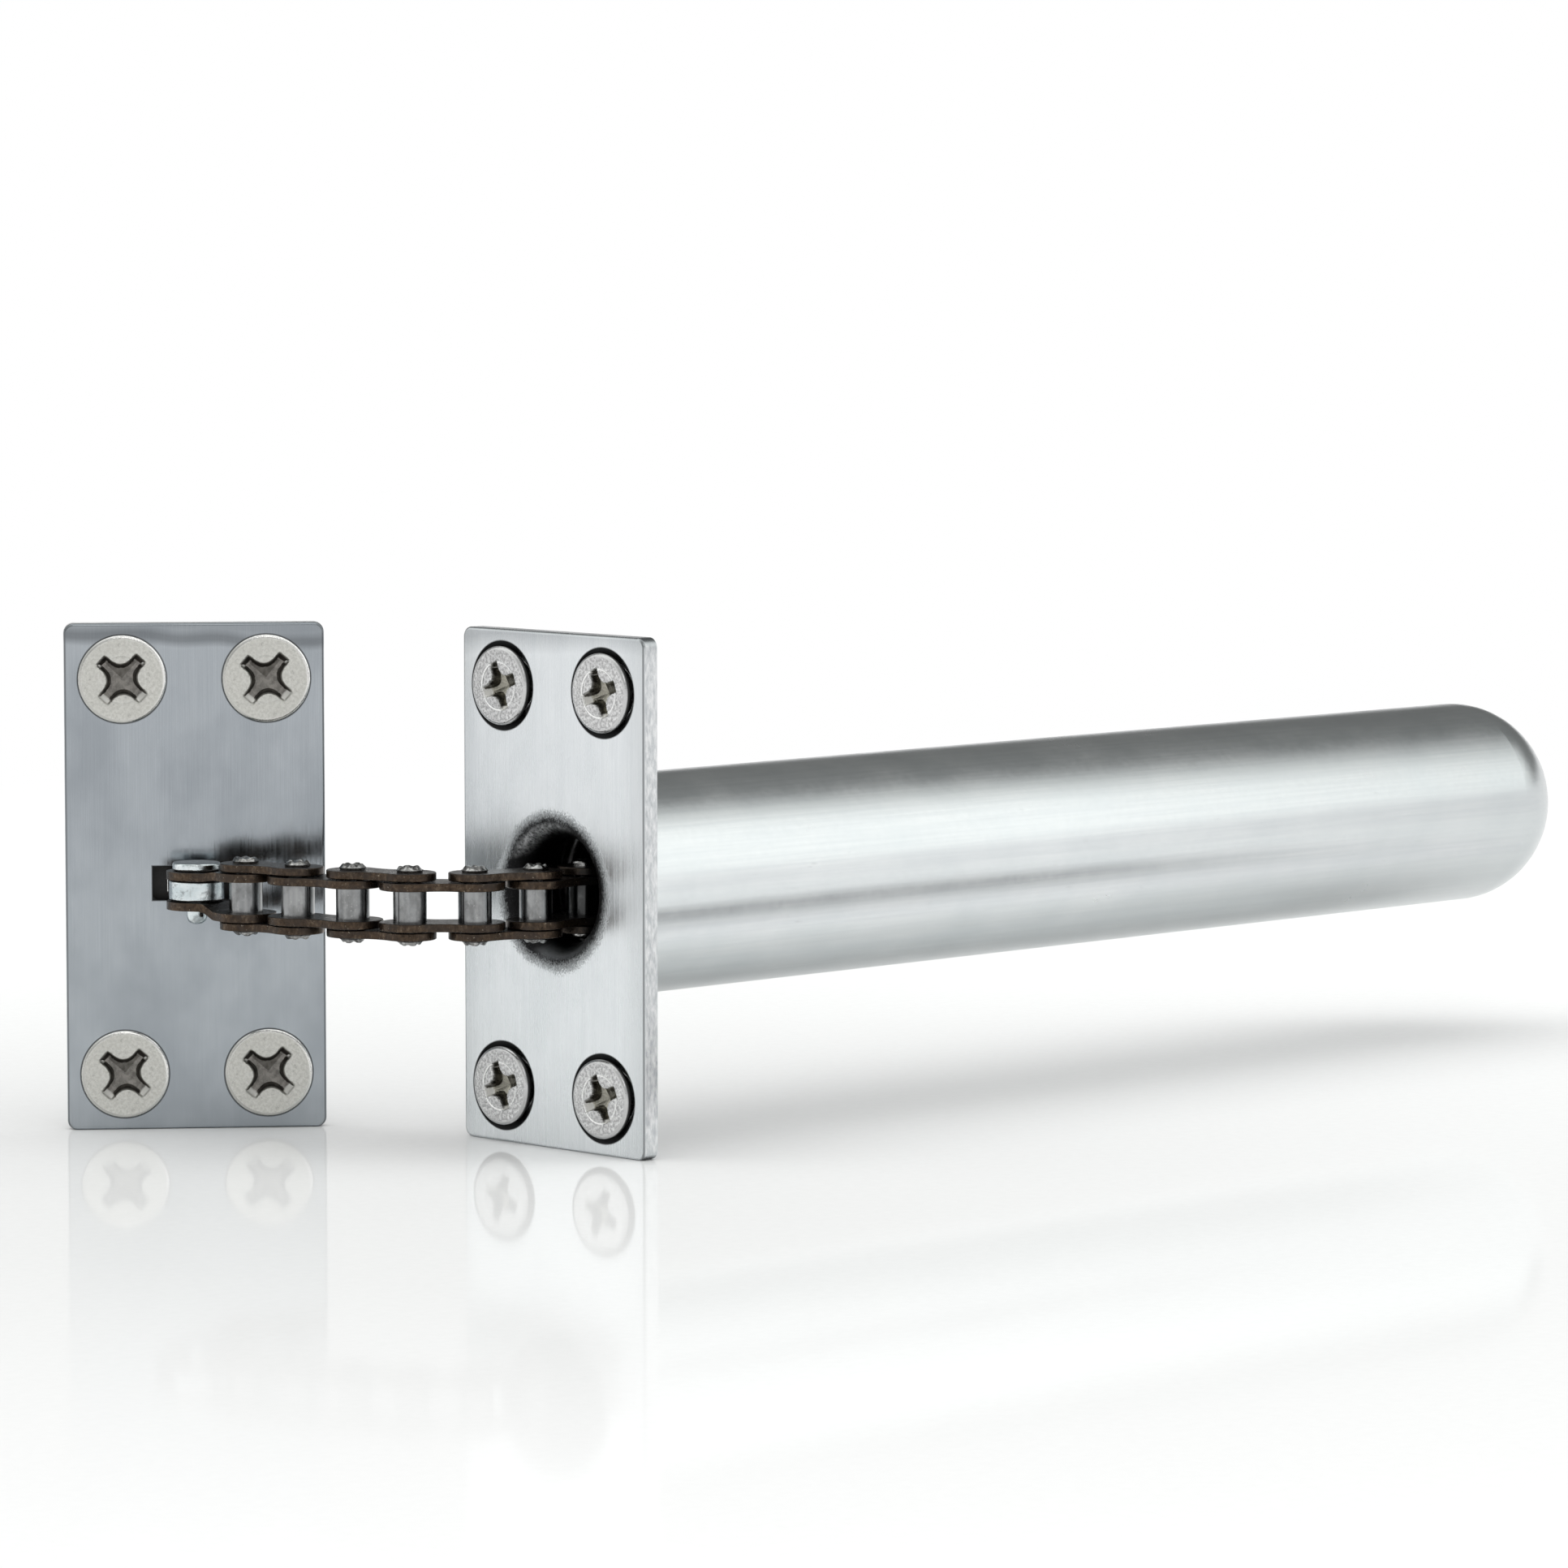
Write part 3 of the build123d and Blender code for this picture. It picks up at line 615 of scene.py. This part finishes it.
for subpart in frame["record"]["subparts"]:
    paint(subpart["node"], FINISHES[subpart["material_slot"]])
# the plate behind the anchor's slot is painted near black as shade inside the slot
paint("tongue_backing", slot_backing_shade())


# ---- mesh helpers ----


def make_piece(name, points, faces, material, body, place=None):
    """A new smooth-shaded piece that rides on a body, its own axes set by place."""
    mesh = bpy.data.meshes.new(name)
    mesh.from_pydata(points, [], faces)
    mesh.update()
    mesh.materials.append(material)
    for polygon in mesh.polygons:
        polygon.use_smooth = True
    piece = bpy.data.objects.new(name, mesh)
    bpy.context.scene.collection.objects.link(piece)
    if place is not None:
        piece.matrix_world = place
    mesh.set_sharp_from_angle(angle=math.radians(40))
    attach(piece, body)
    return piece


def polar_faces(rings, count, start):
    """Faces between successive rings of points, each of COUNT points."""
    faces = []
    for row in range(rings - 1):
        for step in range(count):
            after = (step + 1) % count
            a = start + row * count
            b = a + count
            faces.append((a + step, a + after, b + after, b + step))
    return faces


# ---- screws ----

SCREW_SHANK = 2.0 * MM
SCREW_LENGTH = 5.7 * MM
SEAT_RADIUS = 2.65 * MM
RECESS_ARM = 2.50 * MM
RECESS_HALF_WIDTH = 0.60 * MM
RECESS_WALL = 0.28 * MM
RECESS_ROUNDING = 1.3 * MM
RECESS_DEEP = 1.5 * MM
RECESS_END_DEEP = 0.16 * MM
RECESS_END_SLOPE = 1.7
RIM_WIDTH = 0.3 * MM
RING_RADIUS = 2.35 * MM
RING_WIDTH = 0.08 * MM
RING_DEEP = 0.03 * MM
THREAD_PITCH = 0.9 * MM
THREAD_DEPTH = 0.22 * MM
THREAD_TOP = -2.8 * MM
THREAD_ROWS = 26
ANGLES = 160
HEAD_STEPS = 64


def smooth_low(a, b, blend):
    """Smooth minimum, which rounds the inner corners of the cross."""
    h = max(blend - abs(a - b), 0.0) / blend
    return min(a, b) - h * h * blend / 4


def recess_depth(x, y):
    """How deep the cross recess is at a point of the head, arms along x and y."""
    along_x = max(abs(y) - RECESS_HALF_WIDTH, abs(x) - RECESS_ARM)
    along_y = max(abs(x) - RECESS_HALF_WIDTH, abs(y) - RECESS_ARM)
    outside = smooth_low(along_x, along_y, RECESS_ROUNDING)
    if outside >= 0:
        return 0.0
    wall = min(-outside / RECESS_WALL, 1.0)
    reach = max(abs(x), abs(y))
    slope = min((RECESS_ARM - reach) * RECESS_END_SLOPE + RECESS_END_DEEP, RECESS_DEEP)
    cone = RECESS_DEEP - 0.22 * reach - 0.30 * min(abs(x), abs(y))
    return max(wall * min(slope, cone), 0.0)


def ring_points(radius, z):
    """One ring of points; radius and z are in millimetres."""
    turns = [2 * math.pi * step / ANGLES for step in range(ANGLES)]
    return [(radius * MM * math.cos(angle), radius * MM * math.sin(angle), z * MM) for angle in turns]


def face_points(head, cross):
    """The middle point of a head and the rings of its face, with the recess and the ring mark."""
    points = [(0.0, 0.0, -recess_depth(0, 0))]
    flat = head - RIM_WIDTH
    for row in range(1, HEAD_STEPS + 1):
        radius = flat * row / HEAD_STEPS
        mark = RING_DEEP * math.exp(-(((radius - RING_RADIUS) / RING_WIDTH) ** 2))
        for step in range(ANGLES):
            angle = 2 * math.pi * step / ANGLES
            x, y = radius * math.cos(angle), radius * math.sin(angle)
            points.append((x, y, -recess_depth(x / cross, y / cross) - mark))
    return points


def thread_points():
    """The rings of the shank, cut by a shallow thread and drawn in at the end."""
    points = []
    for row in range(THREAD_ROWS + 1):
        z = THREAD_TOP - (SCREW_LENGTH + THREAD_TOP) * row / THREAD_ROWS
        fade = min(1.0, (THREAD_ROWS - row) / 3)
        for step in range(ANGLES):
            angle = 2 * math.pi * step / ANGLES
            phase = (z / THREAD_PITCH + step / ANGLES) % 1.0
            crest = abs(phase * 2 - 1)
            radius = (SCREW_SHANK - THREAD_DEPTH * (1 - crest)) * (0.86 + 0.14 * fade)
            points.append((radius * math.cos(angle), radius * math.sin(angle), z))
    return points


def screw_mesh(head, cross, proud):
    """A head with a bevelled rim, a cone that seats at the plate's back, and a threaded shank."""
    rim = head / MM
    outline = [(rim - 0.16, -0.05), (rim - 0.05, -0.14), (rim, -0.26), (rim, -0.5), (rim - 0.1, -0.62)]
    outline.append((SEAT_RADIUS / MM, -(proud + PLATE_THICKNESS) / MM + 0.02))
    outline.append((SCREW_SHANK / MM, -2.74))
    points = face_points(head, cross)
    for radius, z in outline:
        points += ring_points(radius, z)
    points += thread_points()
    rings = (len(points) - 1) // ANGLES
    faces = [(0, 1 + step, 1 + (step + 1) % ANGLES) for step in range(ANGLES)]
    faces += [tuple(reversed(face)) for face in polar_faces(rings, ANGLES, 1)]
    last = len(points) - ANGLES
    faces.append(tuple(reversed(range(last, len(points)))))
    return points, faces


def plate_place(turn, back):
    """A plate's own frame: x from its front to its back, z up."""
    return Matrix.Translation(back) @ Matrix.Rotation(turn, 4, "Z")


def add_screws(prefix, node, body, place, head, cross, proud, material, turns):
    """The four screws of a plate, a little proud, turned anticlockwise as seen from the front."""
    corners = [(1, 1), (-1, 1), (-1, -1), (1, -1)]
    points, faces = screw_mesh(head, cross, proud)
    for number, ((side, level), turn) in enumerate(zip(corners, turns), 1):
        spot = Vector((FRONT_X - proud, side * SCREW_Y, level * SCREW_Z))
        facing = Matrix.Rotation(math.radians(-90), 4, "Y")
        spin = Matrix.Rotation(math.radians(turn), 4, "Z")
        matrix = place @ Matrix.Translation(spot) @ facing @ spin
        name = f"{prefix}_screw_{number}"
        make_piece(name, points, faces, material, body, matrix)
    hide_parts(node)


add_screws(
    "forend",
    "forend_screws",
    "housing",
    place=plate_place(0.0, Vector((0, 0, 0))),
    head=FOREND_HEAD,
    cross=FOREND_CROSS,
    proud=FOREND_PROUD,
    material=BRIGHT_NICKEL,
    turns=(20, 20, 24, 20),
)
add_screws(
    "anchor",
    "anchor_screws",
    "anchor",
    place=plate_place(ANCHOR_TURN, ANCHOR_BACK),
    head=ANCHOR_HEAD,
    cross=ANCHOR_CROSS,
    proud=ANCHOR_PROUD,
    material=MATTE_NICKEL,
    turns=(48, 50, 50, 49),
)


# ---- riveted chain pins ----

# In millimetres: the shank, the spread end, its height and bumps, and the outer face of the link's plates.
PIN_RADIUS = 1.155
PIN_END_RADIUS = 1.3
PIN_END_Z = 3.9
PIN_CROWN = 0.13
PIN_LUMPS = 0.16
PIN_PLATE_Z = 3.29
PIN_END_RINGS = 12
PIN_STEPS = 40


def pin_end(x, y, seed):
    """Height of a hammered pin end, in millimetres: a lumpy crown, a little hollow in the middle."""
    reach = math.hypot(x, y) / PIN_END_RADIUS
    angle = math.atan2(y, x)
    crown = PIN_CROWN * math.exp(-(((reach - 0.72) / 0.2) ** 2)) * (1 + 0.8 * math.cos(5 * angle + seed))
    lump = PIN_LUMPS * noise.noise(Vector((x * 2.1, y * 2.1, seed)))
    fall = 0.30 * max(reach - 0.55, 0.0) ** 2 / 0.2
    return min(PIN_END_Z - PIN_LUMPS + crown + lump - fall, PIN_END_Z)


def pin_points(centre, seed):
    """One pin with both ends hammered, standing at a centre."""
    bottom_seed = seed + 9.0
    top = [(PIN_END_RADIUS * ring / PIN_END_RINGS, "top") for ring in range(1, PIN_END_RINGS + 1)]
    bottom = [(radius, "bottom") for radius, level in reversed(top)]
    swell, waist = PIN_END_RADIUS + 0.03, PIN_END_RADIUS - 0.04
    side = [(swell, PIN_PLATE_Z + 0.22), (waist, PIN_PLATE_Z + 0.02), (PIN_RADIUS, PIN_PLATE_Z)]
    rows = top + side + [(radius, -level) for radius, level in reversed(side)] + bottom
    points = [(0, 0, pin_end(0, 0, seed))]
    for radius, level in rows:
        for step in range(PIN_STEPS):
            angle = 2 * math.pi * step / PIN_STEPS
            x, y = radius * math.cos(angle), radius * math.sin(angle)
            if level == "top":
                height = pin_end(x, y, seed)
            elif level == "bottom":
                height = -pin_end(x, y, bottom_seed)
            else:
                height = level
            points.append((x, y, height))
    points.append((0, 0, -pin_end(0, 0, bottom_seed)))
    placed = [(centre.x + x * MM, centre.y + y * MM, centre.z + z * MM) for x, y, z in points]
    return placed, len(rows)


def pin_faces(start, rows):
    """Faces of one pin whose points begin at START."""
    first = start + 1
    last = first + (rows - 1) * PIN_STEPS
    bottom = last + PIN_STEPS
    faces = [(start, first + step, first + (step + 1) % PIN_STEPS) for step in range(PIN_STEPS)]
    faces += [tuple(reversed(face)) for face in polar_faces(rows, PIN_STEPS, first)]
    faces += [(bottom, last + (step + 1) % PIN_STEPS, last + step) for step in range(PIN_STEPS)]
    return faces


def add_pins(number):
    """The two pins of outer link NUMBER, at its own pivot and at the one before it."""
    points, faces = [], []
    for pivot in (number, number - 1):
        centre = Vector(JOINTS[f"pivot_{pivot}"]["pos_m"])
        new_points, rows = pin_points(centre, 1.7 * pivot)
        faces += pin_faces(len(points), rows)
        points += new_points
    name = f"link_{number}_riveted_pins"
    piece = make_piece(name, points, faces, FINISHES["chain_pin"], f"link_{number}")
    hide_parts(f"link_{number}_pins")


for link in (2, 4, 6):
    add_pins(link)


# ---- main spring ----

SPRING_LOW, SPRING_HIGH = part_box("main_spring")
WIRE_RADIUS = 0.95 * MM
COIL_RADIUS = 8.3 * MM
SPRING_TURNS = 14
TURN_STEPS = 64
WIRE_STEPS = 20


def spring_x(turn, start, end):
    """Place along the tube after so many turns: the end turns are closed up."""
    closed = 2.05 * WIRE_RADIUS
    open_pitch = (end - start - 2 * closed) / (SPRING_TURNS - 2)
    if turn < 1:
        return start + closed * turn
    if turn > SPRING_TURNS - 1:
        return end - closed * (SPRING_TURNS - turn)
    return start + closed + open_pitch * (turn - 1)


def add_spring():
    """Coil spring with closed ends and thinned tips, made at one length; the real one shortens as the chain
    is drawn out.
    """
    start, end = SPRING_LOW.x + WIRE_RADIUS, SPRING_HIGH.x - WIRE_RADIUS
    points, faces = [], []
    count = SPRING_TURNS * TURN_STEPS
    for step in range(count + 1):
        turn = step / TURN_STEPS
        angle = 2 * math.pi * turn
        outwards = Vector((0, math.cos(angle), math.sin(angle)))
        across, high = COIL_RADIUS * math.cos(angle), COIL_RADIUS * math.sin(angle)
        centre = Vector((spring_x(turn, start, end), across, high))
        taper = 0.55 + 0.45 * min(1.0, 3 * min(turn, SPRING_TURNS - turn))
        for corner in range(WIRE_STEPS):
            around = 2 * math.pi * corner / WIRE_STEPS
            offset = outwards * math.cos(around) + Vector((1, 0, 0)) * math.sin(around) * taper
            points.append(tuple(centre + offset * WIRE_RADIUS))
    for step in range(count):
        for corner in range(WIRE_STEPS):
            after = (corner + 1) % WIRE_STEPS
            a, b = step * WIRE_STEPS, (step + 1) * WIRE_STEPS
            faces.append((a + corner, b + corner, b + after, a + after))
    faces.append(tuple(range(WIRE_STEPS)))
    faces.append(tuple(reversed(range(count * WIRE_STEPS, (count + 1) * WIRE_STEPS))))
    steel = FINISHES["spring_steel"]
    piece = make_piece("coil_spring", points, faces, steel, "housing")
    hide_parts("main_spring")
    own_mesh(piece)


add_spring()


# ---- studio ----


def hide_from(piece, *rays):
    """Studio gear that some kinds of light ray don't meet."""
    for ray in rays:
        setattr(piece, f"visible_{ray}", False)


def add_stage(name, points, faces, material):
    """A piece of the studio, which isn't part of the object."""
    mesh = bpy.data.meshes.new(name)
    mesh.from_pydata(points, [], faces)
    mesh.materials.append(material)
    piece = bpy.data.objects.new(name, mesh)
    bpy.context.scene.collection.objects.link(piece)
    return piece


def floor_paper():
    """White studio floor, glossy round the plates, fading into plain white light away from the piece."""
    s = Shader("floor_paper")
    tooth = s.noise((900, 900, 900), 2.0, 0.5)
    matte = s.add("ShaderNodeBsdfDiffuse")
    white = s.mix(s.remap(tooth, 0.3, 0.7, 0.0, 1.0), (0.96, 0.96, 0.96), (0.94, 0.94, 0.94))
    s.feed(matte.inputs["Color"], white)
    gloss = s.add("ShaderNodeBsdfGlossy")
    gloss.inputs["Roughness"].default_value = 0.06
    u, v = s.split(s.coords(move=(-12 * MM, 12 * MM, 0.0)))[:2]
    shine = s.remap(s.distance(u, v), 40 * MM, 240 * MM, 0.36, 0.04)
    paper = s.blend(shine, matte.outputs[0], gloss.outputs[0])
    x, y = s.split(s.coords(move=(40 * MM, 0.0, 0.0)))[:2]
    away = s.remap(s.distance(x, y), 120 * MM, 400 * MM, 0.0, 1.0)
    return s.surface(s.blend(away, paper, s.emission(1.0)))


def floor():
    """A square of floor under both plates, its sides 8 m long."""
    reach = 4.0
    corners = [(reach * x, reach * y, FLOOR_Z) for x, y in ((-1, -1), (1, -1), (1, 1), (-1, 1))]
    add_stage("floor", corners, [(0, 1, 2, 3)], floor_paper())


# The streak that the shade card puts under the tube, and the card itself.
STREAK_Y = -53 * MM
STREAK_HALF_WIDTH = 24 * MM
CARD_LENGTH = 170 * MM
CARD_NEAR_Y = -85 * MM
CARD_FAR_Y = -22 * MM
CARD_HEIGHT = 0.8 * MM


def shade_card():
    """A level card that only reflections see, from above: white like the floor, with a soft grey streak."""
    s = Shader("shade_card")
    x, y = s.split(s.coords())[:2]
    streak = s.remap(s.absolute(s.minus(y, STREAK_Y)), 0.0, STREAK_HALF_WIDTH, 1.0, 0.0)
    streak = s.times(streak, s.remap(x, 105 * MM, 160 * MM, 1.0, 0.0))
    light = s.emission(s.remap(streak, 0.0, 1.0, 1.0, 0.34))
    clear = s.add("ShaderNodeBsdfTransparent").outputs[0]
    from_below = s.add("ShaderNodeNewGeometry").outputs["Backfacing"]
    s.surface(s.blend(from_below, light, clear))
    level = FLOOR_Z + CARD_HEIGHT
    near = [(0.0, CARD_NEAR_Y, level), (CARD_LENGTH, CARD_NEAR_Y, level)]
    far = [(CARD_LENGTH, CARD_FAR_Y, level), (0.0, CARD_FAR_Y, level)]
    card = add_stage("shade_card", near + far, [(0, 1, 2, 3)], s.material)
    hide_from(card, "camera", "diffuse", "transmission", "shadow")


def backdrop():
    """A white wall all round, seen only directly, so that it doesn't flatten the metal."""
    radius, height, count = 3.8, 4.0, 48
    turns = [2 * math.pi * step / count for step in range(count)]
    rim = [(radius * math.cos(turn), radius * math.sin(turn)) for turn in turns]
    points = [(x, y, FLOOR_Z) for x, y in rim] + [(x, y, height) for x, y in rim]
    s = Shader("backdrop_white")
    wall = add_stage("backdrop", points, polar_faces(2, count, 0), s.surface(s.emission(1.0)))
    hide_from(wall, "diffuse", "glossy", "transmission", "shadow")


def softbox(name, place, aim, side, power, in_gloss=True):
    """A square area light at a place, aimed at a point."""
    light = bpy.data.lights.new(name, "AREA")
    light.size = side
    light.energy = power
    lamp = bpy.data.objects.new(name, light)
    bpy.context.scene.collection.objects.link(lamp)
    lamp.location = place
    lamp.rotation_euler = (Vector(aim) - Vector(place)).to_track_quat("-Z", "Y").to_euler()
    if not in_gloss:
        hide_from(lamp, "glossy")


# Brightness of the studio by how far a direction points away from the camera: 0 behind it, 1 ahead.
SKY_STOPS = (
    (0.00, 0.50),
    (0.30, 0.75),
    (0.46, 1.25),
    (0.60, 1.35),
    (0.68, 0.75),
    (0.77, 0.24),
    (1.00, 0.16),
)


def world():
    """White low down all round; higher up, bright beside the camera and dark over the far side."""
    sky = bpy.data.worlds.new("studio")
    bpy.context.scene.world = sky
    sky.use_nodes = True
    s = Nodes(sky.node_tree)
    direction = s.add("ShaderNodeTexCoord").outputs["Generated"]
    away = s.dot(direction, (-math.sin(CAMERA_AZIMUTH) / 2, math.cos(CAMERA_AZIMUTH) / 2, 0))
    stops = [(place, (level * 0.985, level, level * 0.985)) for place, level in SKY_STOPS]
    upper = s.ramp(s.plus(away, 0.5), stops)
    height = s.split(direction)[2]
    colour = s.mix(s.remap(height, 0.10, 0.20, 0.0, 1.0), (1, 1, 1), upper)
    s.join(colour, s.tree.nodes["Background"].inputs["Color"])


def camera():
    """Looks at a point to the right of and above the middle of the forend plate's front."""
    data = bpy.data.cameras.new("camera")
    data.lens = CAMERA_LENS
    data.sensor_width = 36
    data.clip_start = 0.01
    eye = bpy.data.objects.new("camera", data)
    bpy.context.scene.collection.objects.link(eye)
    sine, cosine = math.sin(CAMERA_AZIMUTH), math.cos(CAMERA_AZIMUTH)
    level = math.cos(CAMERA_PITCH)
    ahead = Vector((-sine * level, cosine * level, -math.sin(CAMERA_PITCH)))
    right = Vector((cosine, sine, 0))
    above = right.cross(ahead)
    aim = Vector((FRONT_X, 0, 0)) + right * AIM_RIGHT + above * AIM_UP
    eye.location = aim - ahead * CAMERA_DISTANCE
    eye.rotation_euler = ahead.to_track_quat("-Z", "Y").to_euler()
    bpy.context.scene.camera = eye


floor()
backdrop()
world()
shade_card()
softbox("floor_light", place=(0.1, 0.0, 1.6), aim=(0.1, 0.0, 0.0), side=2.4, power=15.5, in_gloss=False)
softbox("key", place=(-0.5, -0.7, 0.7), aim=(0.0, 0.0, 0.0), side=0.35, power=0.5)
camera()
bpy.context.scene.view_settings.view_transform = "Standard"
